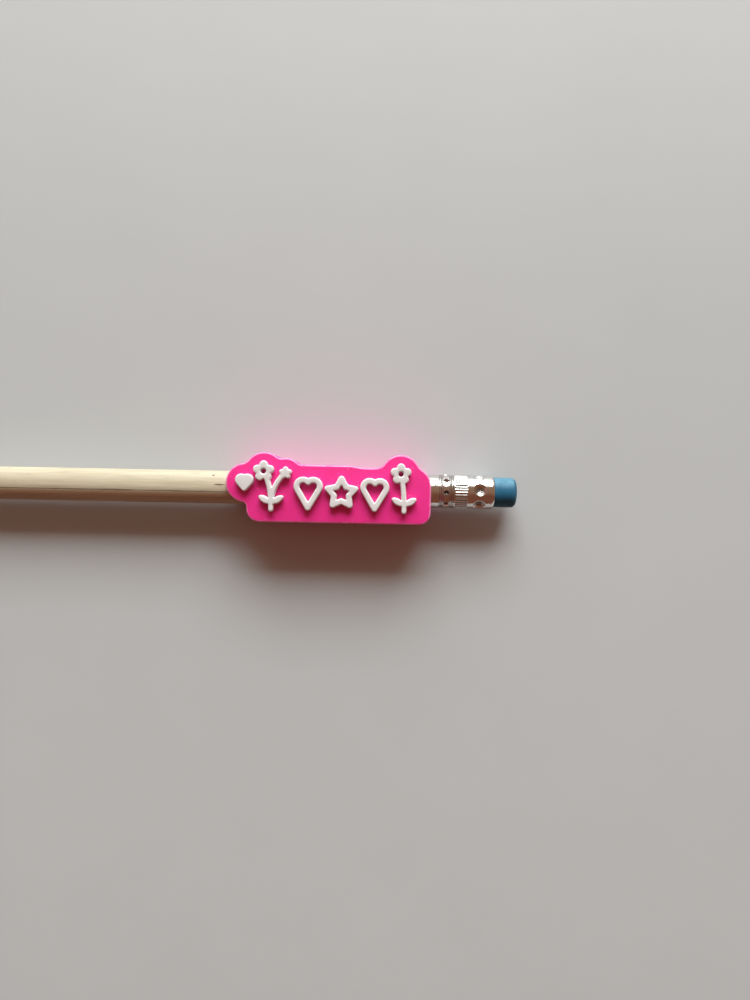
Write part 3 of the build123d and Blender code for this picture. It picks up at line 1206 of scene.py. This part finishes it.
class Ripple:
    """Smooth uneven field of a few sine waves with fixed phases, closed around the turn."""

    sizes = (0.5, 1.0)

    def __init__(self, seed: int, count: int, slow: float, fast: float, around: int) -> None:
        """Draw the waves.

        Args:
            seed: Seed of the draw.
            count: Number of waves.
            slow: Longest wave along X, in millimetres.
            fast: Shortest wave along X, in millimetres.
            around: Most waves around the turn.
        """
        draw = random.Random(seed)
        self.waves = []
        for _ in range(count):
            rate = FULL_TURN / draw.uniform(fast, slow)
            turns = draw.randint(-around, around)
            shift = draw.uniform(0, FULL_TURN)
            self.waves.append((rate, turns, shift, draw.uniform(*self.sizes)))

    def __call__(self, along: np.ndarray, angle: np.ndarray) -> np.ndarray:
        """The field at places along and around, roughly from -1 to 1."""
        waves = [size * np.sin(rate * along + turns * angle + shift)
                 for rate, turns, shift, size in self.waves]
        return np.sum(waves, axis=0) / math.sqrt(len(waves))


def ring(x: float, reach: np.ndarray, turns: np.ndarray, axis_height: float) -> np.ndarray:
    """Points around the pencil's axis at an X, from the radius and angle of each."""
    y, z = reach * np.cos(turns), reach * np.sin(turns) + axis_height
    return np.column_stack([np.full(len(turns), x), y, z])


@dataclass
class Pencil:
    """Two glued slats of bare wood and the lead, sharpened to a blunt tip."""

    effects: Effects
    radius: float = 3.65
    groove_radius: float = 1.12
    lead_radius: float = 1.1
    tip_radius: float = 0.25
    point_angle: float = 21.0
    tenon_radius: float = 2.9
    seam_lean: float = 17.5
    seam_chamfer: float = 0.09
    chamfer_share: float = 0.3
    cone_rows: int = 60
    cone_gaps: tuple[float, float] = (0.05, 0.02)
    barrel_rows: int = 190
    barrel_gaps: tuple[float, float] = (0.1, 0.14)
    collar_steps: tuple[tuple[float, float], ...] = ((-0.04, 0.03), (0.0, 0.1))
    tenon_gap: float = 0.03
    arc_points: int = 72
    groove_points: int = 25
    uneven: float = 0.012
    uneven_seeds: tuple[int, int] = (7, 19)
    shaving: float = 0.03
    shaving_seeds: tuple[int, int] = (31, 43)
    tip_rows: int = 9
    tip_start: float = 0.04
    tip_share: float = 0.9
    lead_rows: int = 26
    lead_gaps: tuple[float, float] = (0.15, 0.3)
    lead_points: int = 64
    lead_wear: float = 0.02
    lead_wear_shift: float = 1.2
    lead_least: float = 0.004

    def __post_init__(self) -> None:
        """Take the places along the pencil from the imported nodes."""
        low, high = node_box(Half.REAR.value)
        self.mouth, self.tenon_end = low.x, high.x
        self.collar = node_box("ferrule")[0].x
        lead_low, lead_high = node_box("graphite_core")
        self.tip = lead_low.x
        self.axis_height = (lead_low.z + lead_high.z) / 2
        self.lean = math.radians(self.point_angle / 2)
        self.slope = math.tan(self.lean)
        self.point_base = self.tip + (self.radius - self.tip_radius) / self.slope
        self.shoulder = self.tip + (self.lead_radius - self.tip_radius) / self.slope

    def stations(self) -> list[tuple[float, float, float]]:
        """Places along the barrel.

        Returns:
            For each place its X, the radius and how much of the shaving marks shows.
        """
        ends = (self.mouth + self.cone_gaps[0], self.point_base - self.cone_gaps[1])
        cone = np.linspace(*ends, self.cone_rows)
        rows = [(x, self.tip_radius + (x - self.tip) * self.slope, 1.0) for x in cone]
        ends = (self.point_base + self.barrel_gaps[0], self.collar - self.barrel_gaps[1])
        rows += [(x, self.radius, 0.0) for x in np.linspace(*ends, self.barrel_rows)]
        rows += [(self.collar + shift, self.radius - drop, 0.0) for shift, drop in self.collar_steps]
        return rows + [(x, self.tenon_radius, 0.0) for x in (self.collar + self.tenon_gap, self.tenon_end)]

    def slat(self, half: Half, material: Material) -> Object:
        """Build one half of the barrel.

        Args:
            half: Which half.
            material: The wood.

        Returns:
            The piece.
        """
        side = list(Half).index(half)
        seam = math.radians(UP_ANGLE + self.seam_lean)
        first = seam - math.pi if half is Half.REAR else seam
        unit = np.array([math.cos(first), math.sin(first)])
        away = np.array([math.cos(first + QUARTER_TURN), math.sin(first + QUARTER_TURN)])
        waver = Ripple(self.uneven_seeds[side], count=9, slow=60.0, fast=9.0, around=5)
        marks = Ripple(self.shaving_seeds[side], count=10, slow=2.4, fast=0.5, around=2)
        turns = np.linspace(0, math.pi, self.arc_points)
        groove_turns = np.linspace(math.pi, 0, self.groove_points)
        rings = []
        for x, radius, shaved in self.stations():
            along = np.full_like(turns, x)
            uneven = self.uneven * (1 - shaved) * waver(along, turns + first)
            uneven += self.shaving * 0.5 * shaved * (marks(along, turns + first) - 1.0)
            reach = np.minimum(radius + uneven - self.uneven, self.radius)
            chamfer = min(self.seam_chamfer, self.chamfer_share * (radius - self.groove_radius))
            edge_turns = turns.copy()
            edge_turns[0], edge_turns[-1] = chamfer / radius, math.pi - chamfer / radius
            outer = [r * (math.cos(t) * unit + math.sin(t) * away) for t, r in zip(edge_turns, reach)]
            inner = [self.groove_radius * (math.cos(t) * unit + math.sin(t) * away) for t in groove_turns]
            start = (radius - chamfer) * unit
            section = np.array([start, *outer, -start, *inner])
            heights = section[:, 1] + self.axis_height
            rings.append(np.column_stack([np.full(len(section), x), section[:, 0], heights]))
        return skin_mesh(half.value.replace("slat", "half"), rings, material, sharp=40.0)

    def lead_stations(self) -> list[tuple[float, float]]:
        """Places along the lead, from its rounded tip.

        Returns:
            For each place its X and the radius.
        """
        ball = self.tip_radius / math.cos(self.lean) * self.tip_share
        turns = np.linspace(self.tip_start, QUARTER_TURN - self.lean, self.tip_rows)
        rows = [(self.tip + ball * (1 - math.cos(turn)), ball * math.sin(turn)) for turn in turns]
        cone_x, cone_radius = rows[-1]
        for x in np.linspace(cone_x + self.lead_gaps[0], self.shoulder, self.lead_rows):
            rows.append((x, min(self.lead_radius, cone_radius + (x - cone_x) * self.slope)))
        return rows + [(x, self.lead_radius) for x in (self.shoulder + self.lead_gaps[1], self.tenon_end)]

    def lead(self, material: Material) -> Object:
        """Build the lead with its rounded tip.

        Args:
            material: The graphite.

        Returns:
            The piece.
        """
        turns = np.linspace(0, FULL_TURN, self.lead_points, endpoint=False)
        marks = Ripple(seed=57, count=8, slow=1.6, fast=0.4, around=3)
        rings = []
        for x, radius in self.lead_stations():
            worn = 0.0
            if x < self.shoulder:
                swing = marks(np.full_like(turns, x), turns) - self.lead_wear_shift
                worn = self.lead_wear * min(1.0, radius) * swing
            reach = np.clip(radius + worn, self.lead_least, self.lead_radius)
            rings.append(ring(x, reach, turns, self.axis_height))
        return skin_mesh("lead", rings, material, sharp=50.0)

    def build(self) -> None:
        """Build and dress the slats and the lead."""
        wood = WoodFinish(self.axis_height, self.seam_lean).material(self.effects)
        for half in Half:
            place_piece(self.slat(half, wood), Body.PENCIL, Slot.WOOD, half.value)
        place_piece(self.lead(LeadFinish().material(self.effects)), Body.PENCIL, Slot.LEAD, "graphite_core")


@dataclass
class EraserEnd:
    """Crimped ferrule and the rubber plug that it holds."""

    effects: Effects
    tube_radius: float = 3.70
    wall: float = 0.22
    mouth_curl: float = 0.26
    mouth_run: float = 0.7
    eraser_radius: float = 3.29
    eraser_round: float = 1.05
    dome: float = 0.22
    plug_radius: float = 2.45
    plug_back: float = 0.9
    neck_radius: float = 3.12
    neck_back: float = 0.12
    neck_lip: float = 0.02
    swell_gap: float = 0.03
    swell_run: float = 0.2
    swell_rise: float = 0.15
    swell_rub: float = 0.1
    swell_start: float = 0.2
    swell_rows: int = 6
    side_gap: float = 0.45
    side_rows: int = 26
    rim_start: float = 0.1
    rim_rows: int = 14
    dome_shares: tuple[float, float] = (0.93, 0.02)
    dome_rows: int = 16
    around: int = 144
    hidden: float = 0.3
    uneven: float = 0.022
    nick_turn: float = 68.0
    nick_back: float = 1.75
    nick_depth: float = 0.16
    nick_size: float = 0.34
    least_radius: float = 0.01

    def __post_init__(self) -> None:
        """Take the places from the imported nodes."""
        low, high = node_box("ferrule")
        self.start, self.end = low.x, high.x
        self.axis_height = (low.z + high.z) / 2
        plug_low, plug_high = node_box("eraser")
        self.plug_start, self.tip = plug_low.x, plug_high.x

    def ferrule(self) -> Object:
        """Build the ferrule from its tree.

        Returns:
            The piece.
        """
        values = {
            "Start": self.start, "Length": self.end - self.start, "Radius": self.tube_radius,
            "Wall": self.wall, "Axis Height": self.axis_height, "Mouth Curl": self.mouth_curl,
            "Mouth Run": self.mouth_run, "Finish": FerruleFinish().material(self.effects),
        }
        return finished("ferrule_tube", grown("ferrule_tube", CrimpedTube().tree, values), sharp=32.0)

    def plug_stations(self) -> list[tuple[float, float, float]]:
        """Places along the rubber plug, from its hidden end to the middle of its domed end.

        Returns:
            For each place its X, the radius and how rubbed it is.
        """
        lip = self.neck_radius + self.neck_lip
        rows = [(self.plug_start, self.plug_radius, 0.0), (self.end - self.plug_back, self.plug_radius, 0.0)]
        rows += [(self.end - self.neck_back, self.neck_radius, 0.0), (self.end + self.neck_lip, lip, 0.0)]
        for turn in np.linspace(self.swell_start, QUARTER_TURN, self.swell_rows):
            x = self.end + self.swell_gap + self.swell_run * (1 - math.cos(turn))
            rows.append((x, lip + self.swell_rise * math.sin(turn), self.swell_rub))
        edge = self.tip - self.dome - self.eraser_round
        side = np.linspace(self.end + self.side_gap, edge, self.side_rows)
        rows += [(x, self.eraser_radius, 0.0) for x in side]
        for turn in np.linspace(self.rim_start, QUARTER_TURN, self.rim_rows):
            x = edge + self.eraser_round * math.sin(turn)
            drop = self.eraser_round * (1 - math.cos(turn))
            rows.append((x, self.eraser_radius - drop, math.sin(2 * turn)))
        flat = self.eraser_radius - self.eraser_round
        shares = np.linspace(*self.dome_shares, self.dome_rows)
        return rows + [(self.tip - self.dome * share**2, flat * share, 0.0) for share in shares]

    def eraser(self) -> Object:
        """Build the rubber plug, with a worn rim and a small nick.

        Returns:
            The piece.
        """
        turns = np.linspace(0, FULL_TURN, self.around, endpoint=False)
        waver = Ripple(seed=71, count=8, slow=5.0, fast=1.4, around=4)
        nick = math.radians(UP_ANGLE - self.nick_turn)
        nick_arc = self.eraser_radius * (np.mod(turns - nick + math.pi, FULL_TURN) - math.pi)
        rings, edges = [], []
        for x, radius, rub in self.plug_stations():
            shown = 1.0 if x > self.end + self.hidden else 0.0
            swing = waver(np.full_like(turns, x), turns) - 1.0
            off = np.hypot(x - (self.tip - self.nick_back), nick_arc)
            reach = radius + self.uneven * shown * swing * min(1.0, radius)
            reach = reach - shown * self.nick_depth * np.exp(-((off / self.nick_size) ** 2))
            reach = np.clip(reach, self.least_radius, self.eraser_radius)
            rings.append(ring(x, reach, turns, self.axis_height))
            edges.append(np.full(self.around, rub))
        rubber = RubberFinish().material(self.effects)
        return skin_mesh("eraser_plug", rings, rubber, sharp=50.0, edge=edges)

    def build(self) -> None:
        """Build and dress the ferrule and the eraser."""
        place_piece(self.ferrule(), Body.PENCIL, Slot.FERRULE, "ferrule")
        place_piece(self.eraser(), Body.PENCIL, Slot.ERASER, "eraser")


class Outline:
    """Closed outlines of a CAD node at one level, as a curve that the wall tree follows."""

    level_slack = 0.01
    least_points = 12
    ease_limit = 200

    def __init__(self, node: str, level: float, spacing: float, passes: int, least: float) -> None:
        """Read, even out and smooth the outlines.

        Args:
            node: The CAD node.
            level: Height in millimetres of the outlines.
            spacing: Distance between points, in millimetres.
            passes: Smoothing passes.
            least: Smallest radius of an outward corner, in millimetres.
        """
        self.name = node
        even = [self._even(loop, spacing, passes) for loop in self._read(node, level)]
        self.loops = [self._eased(loop, least) for loop in even]

    def _read(self, node: str, level: float) -> list[np.ndarray]:
        """Read the loops around the faces that lie above a level.

        Args:
            node: The CAD node.
            level: The level in millimetres.

        Returns:
            The loops, with material on their left.
        """
        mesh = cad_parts[node].data
        places = [tuple(vertex.co / METRE) for vertex in mesh.vertices]
        edges = set()
        for polygon in mesh.polygons:
            corners = [places[index] for index in polygon.vertices]
            if min(corner[2] for corner in corners) > level - self.level_slack:
                sides = zip(corners, corners[1:] + corners[:1])
                edges.update(side for side in sides if side[0] != side[1])
        follows = {first: second for first, second in edges if (second, first) not in edges}
        loops = []
        while follows:
            start = min(follows)
            loop = [start]
            step = follows.pop(start)
            while step != start:
                loop.append(step)
                step = follows.pop(step)
            loops.append(np.array(loop)[:, :2])
        return loops

    @staticmethod
    def _soft(loop: np.ndarray) -> np.ndarray:
        """A loop with each point moved half of the way to the middle of its neighbours."""
        return 0.5 * loop + 0.25 * (np.roll(loop, 1, axis=0) + np.roll(loop, -1, axis=0))

    @classmethod
    def _even(cls, loop: np.ndarray, spacing: float, passes: int) -> np.ndarray:
        """Space a loop's points evenly and smooth it a little.

        Args:
            loop: The points.
            spacing: Distance between points.
            passes: Smoothing passes.

        Returns:
            The new points.
        """
        closed = np.vstack([loop, loop[:1]])
        lengths = np.concatenate([[0.0], np.cumsum(np.linalg.norm(np.diff(closed, axis=0), axis=1))])
        count = max(cls.least_points, round(lengths[-1] / spacing))
        places = np.linspace(0, lengths[-1], count, endpoint=False)
        even = np.column_stack([np.interp(places, lengths, closed[:, axis]) for axis in (0, 1)])
        for _ in range(passes):
            even = cls._soft(even)
        return even

    @classmethod
    def _eased(cls, loop: np.ndarray, least: float) -> np.ndarray:
        """Round the outward corners that are tighter than a radius.

        Args:
            loop: The points, with material on their left.
            least: The radius.

        Returns:
            The new points.
        """
        for _ in range(cls.ease_limit):
            behind, ahead = loop - np.roll(loop, 1, axis=0), np.roll(loop, -1, axis=0) - loop
            cross = behind[:, 0] * ahead[:, 1] - behind[:, 1] * ahead[:, 0]
            turn = np.arctan2(cross, np.einsum("ij,ij->i", behind, ahead))
            run = (np.linalg.norm(behind, axis=1) + np.linalg.norm(ahead, axis=1)) / 2
            tight = turn * least > run
            if not tight.any():
                break
            near = tight | np.roll(tight, 1) | np.roll(tight, -1)
            loop = np.where(near[:, None], cls._soft(loop), loop)
        return loop

    def curve(self) -> Object:
        """Make the outlines a curve of closed splines.

        Returns:
            A scratch object in millimetres.
        """
        data = bpy.data.curves.new(f"{self.name}_outline", "CURVE")
        data.dimensions = "3D"
        for loop in self.loops:
            spline = data.splines.new("POLY")
            spline.points.add(len(loop) - 1)
            points = np.column_stack([loop, np.zeros(len(loop)), np.ones(len(loop))])
            spline.points.foreach_set("co", points.ravel())
            spline.use_cyclic_u = True
        return linked(data.name, data)


# The pink's wall colour is a painted glow, brighter than its face.
PINK_PLASTIC = PrintFinish(
    name="pink_plastic", body=(0.92, 0.036, 0.31), deep=(0.86, 0.025, 0.25), wall=(1.0, 0.03, 0.365),
    speck=(0.98, 0.30, 0.55), worn=(0.98, 0.34, 0.60), speck_size=0.55, speck_density=0.035,
    edge_amount=0.9, glow=0.22, glow_reach=(1.2, 0.25, 0.6), roughness=(0.5, 0.38),
)
WHITE_PLASTIC = PrintFinish(
    name="white_plastic", body=(0.80, 0.765, 0.765), deep=(0.69, 0.655, 0.66), wall=(0.76, 0.725, 0.725),
    speck=(0.46, 0.43, 0.44), worn=(0.90, 0.88, 0.87), speck_size=0.6, speck_density=0.09,
    edge_amount=0.6, glow=0.12, glow_reach=(0.6, 0.5, 0.5), roughness=(0.62, 0.5),
)


@dataclass
class Topper:
    """Printed plate with its bore, and the white pieces on its face."""

    effects: Effects
    pink: PrintFinish = PINK_PLASTIC
    white: PrintFinish = WHITE_PLASTIC
    edge_round: float = 0.4
    layer: float = 0.2
    edge_layers: int = 2
    bulge: float = 0.03
    sharp: float = 50.0
    bore_radius: float = 3.92
    bore_step: float = 0.1
    bore_shift: float = 0.03
    bore_overrun: float = 4.0
    block_spacing: float = 0.36
    block_passes: int = 3
    relief_spacing: float = 0.14
    relief_passes: int = 2
    relief_run: float = 0.32
    relief_corner: float = 0.4
    relief_bulge: float = 0.022
    relief_foot: tuple[float, float] = (0.04, 0.02)
    relief_points: int = 9
    reliefs: tuple[str, ...] = (
        "relief_charm", "relief_left_flower", "relief_left_heart",
        "relief_star", "relief_right_heart", "relief_right_flower",
    )

    def __post_init__(self) -> None:
        """Take the plate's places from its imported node."""
        self.low, self.high = node_box("topper_block")
        lead_low, lead_high = node_box("graphite_core")
        self.axis_height = (lead_low.z + lead_high.z) / 2
        self.wall_tree = PrintedWall().tree

    def bore_tool(self) -> Object:
        """Build the bore as a print leaves it, in level steps, longer than the plate.

        Returns:
            A scratch object in millimetres.
        """
        first = math.floor((self.axis_height - self.bore_radius) / self.bore_step)
        steps = int(2 * self.bore_radius / self.bore_step) + 3
        levels = [self.bore_step * (first + k) + self.bore_shift for k in range(steps)]
        outline = []
        for low, high in zip(levels, levels[1:]):
            middle = (low + high) / 2 - self.axis_height
            if abs(middle) < self.bore_radius:
                half = math.sqrt(self.bore_radius**2 - middle**2)
                outline += [(half, low), (half, high)]
        section = [*outline, *[(-y, z) for y, z in reversed(outline)]]
        ends = (self.low.x - self.bore_overrun, self.high.x + self.bore_overrun)
        rings = np.array([[(x, y, z) for y, z in section] for x in ends])
        return linked("bore_tool", stacked("bore_tool", rings))

    def raised(self, name: str, node: str, outline: Outline, values: dict[str, object]) -> Object:
        """Raise an outline in printed layers to the height of a CAD node.

        Args:
            name: The piece's name.
            node: The CAD node that it stands for.
            outline: The outlines to follow.
            values: Values of the wall tree's other inputs.

        Returns:
            The piece.
        """
        low, high = node_box(node)
        height = high.z - low.z
        layer = height / round(height / self.layer)
        rise = self.edge_layers * layer
        curve = outline.curve()
        shared = {"Outline": curve, "Height": height, "Layer": layer, "Crown Rise": rise, "Foot Rise": rise}
        mesh = grown(name, self.wall_tree, {**shared, **values})
        data = curve.data
        bpy.data.objects.remove(curve)
        bpy.data.curves.remove(data)
        mesh.transform(Matrix.Translation((0, 0, low.z * METRE)))
        return finished(name, mesh, self.sharp)

    def block(self, material: Material) -> Object:
        """Build the pink plate.

        Args:
            material: The pink plastic.

        Returns:
            The piece.
        """
        tool = self.bore_tool()
        values = {
            "Bulge": self.bulge, "Crown Run": self.edge_round, "Foot Run": self.edge_round,
            "Bored": True, "Bore Tool": tool, "Finish": material,
        }
        level = self.high.z - self.edge_round
        outline = Outline("topper_block", level, self.block_spacing, self.block_passes, self.edge_round)
        piece = self.raised("printed_plate", "topper_block", outline, values)
        bpy.data.objects.remove(tool)
        return piece

    def relief(self, node: str, material: Material) -> Object:
        """Build one white piece on the plate's face.

        Args:
            node: The CAD node that it stands for.
            material: The white plastic.

        Returns:
            The piece.
        """
        foot_run, foot_rise = self.relief_foot
        values = {
            "Bulge": self.relief_bulge, "Crown Run": self.relief_run, "Foot Run": foot_run,
            "Foot Rise": foot_rise, "Crown Points": self.relief_points, "Finish": material,
        }
        level = node_box(node)[1].z
        outline = Outline(node, level, self.relief_spacing, self.relief_passes, self.relief_corner)
        return self.raised(node.replace("relief_", "white_"), node, outline, values)

    def build(self) -> None:
        """Build and dress the plate and its white pieces."""
        place_piece(self.block(self.pink.material(self.effects)), Body.TOPPER, Slot.PINK, "topper_block")
        white = self.white.material(self.effects)
        for node in self.reliefs:
            place_piece(self.relief(node, white), Body.TOPPER, Slot.WHITE, node)


@dataclass
class Studio:
    """Pale table, soft window-like light from the far side, weak warm fill and the camera."""

    effects: Effects
    camera_place: tuple[float, float, float] = (10.145, -2.2, 172.2)
    camera_roll: float = 1.13
    lens: float = 27.0
    sensor: float = 36.0
    nearest: float = 0.01
    light_turn: float = 4.0
    light_rise: float = 31.2
    light_away: float = 2.2
    light_size: tuple[float, float] = (1.65, 1.04)
    light_power: float = 65.0
    light_colour: Colour = (0.91, 1.0, 0.99)
    near_fill: Colour = (0.165, 0.058, 0.034)
    top_fill: Colour = (0.26, 0.149, 0.096)
    far_fill: Colour = (2.2, 2.23, 2.23)
    top_step: tuple[float, float] = (-0.6, 0.2)
    far_step: tuple[float, float] = (0.5, 1.0)
    backdrop: Colour = (0.60, 0.59, 0.575)
    table_radius: float = 1.3
    table_points: int = 96
    table_gap: float = 0.00002

    def floor(self) -> None:
        """Lay the table top just under the plate's back."""
        mesh = bpy.data.meshes.new("table_top")
        turns = np.linspace(0, FULL_TURN, self.table_points, endpoint=False)
        flat = self.table_radius * np.column_stack([np.cos(turns), np.sin(turns)])
        mesh.from_pydata([(x, y, -self.table_gap) for x, y in flat], [], [list(range(self.table_points))])
        mesh.materials.append(FloorFinish().material(self.effects))
        table = linked("table_top", mesh)

    def window(self) -> None:
        """Place the soft light."""
        turn, rise = math.radians(self.light_turn), math.radians(self.light_rise)
        away = Vector((math.sin(turn) * math.cos(rise), math.cos(turn) * math.cos(rise), math.sin(rise)))
        data = bpy.data.lights.new("window", "AREA")
        data.shape = "RECTANGLE"
        data.size, data.size_y = self.light_size
        data.energy, data.color = self.light_power, self.light_colour
        window = linked("window", data)
        window.location = away * self.light_away
        window.rotation_euler = away.to_track_quat("Z", "Y").to_euler()
        window.visible_camera = False

    def room(self) -> None:
        """Set the fill that comes from all round, and the plain backdrop that the camera sees."""
        world = bpy.data.worlds.new("room")
        world.use_nodes = True
        world.node_tree.nodes.clear()
        w = Wiring(world.node_tree)
        side = w.parts(w.add("ShaderNodeTexCoord").outputs["Generated"])[1]
        tint = w.blend(w.smooth(side, *self.top_step), self.near_fill, self.top_fill)
        tint = w.blend(w.smooth(side, *self.far_step), tint, self.far_fill)
        fill = w.out("ShaderNodeBackground", tint, 1.0)
        seen = w.out("ShaderNodeBackground", rgba(self.backdrop), 1.0)
        camera_ray = w.add("ShaderNodeLightPath").outputs["Is Camera Ray"]
        w.add("ShaderNodeOutputWorld", w.out("ShaderNodeMixShader", camera_ray, fill, seen))
        bpy.context.scene.world = world

    def camera(self) -> None:
        """Set the camera straight above, rolled a little, at the photograph's distance."""
        data = bpy.data.cameras.new("above")
        data.sensor_fit = "VERTICAL"
        data.sensor_height = data.sensor_width = self.sensor
        data.lens, data.clip_start = self.lens, self.nearest
        camera = linked("above", data)
        camera.location = Vector(self.camera_place) * METRE
        camera.rotation_euler = (0.0, 0.0, math.radians(self.camera_roll))
        bpy.context.scene.camera = camera

    def build(self) -> None:
        """Set the scene around the object."""
        bpy.context.scene.view_settings.view_transform = "Standard"
        self.floor()
        self.window()
        self.room()
        self.camera()


def main() -> None:
    """Build the pencil, its eraser end, the topper and the studio, and note the sizes."""
    logging.basicConfig(level=logging.INFO, format="%(name)s: %(message)s")
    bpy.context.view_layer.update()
    effects = Effects()
    for assembly in (Pencil(effects), EraserEnd(effects), Topper(effects), Studio(effects)):
        assembly.build()


if __name__ == "__main__":
    main()
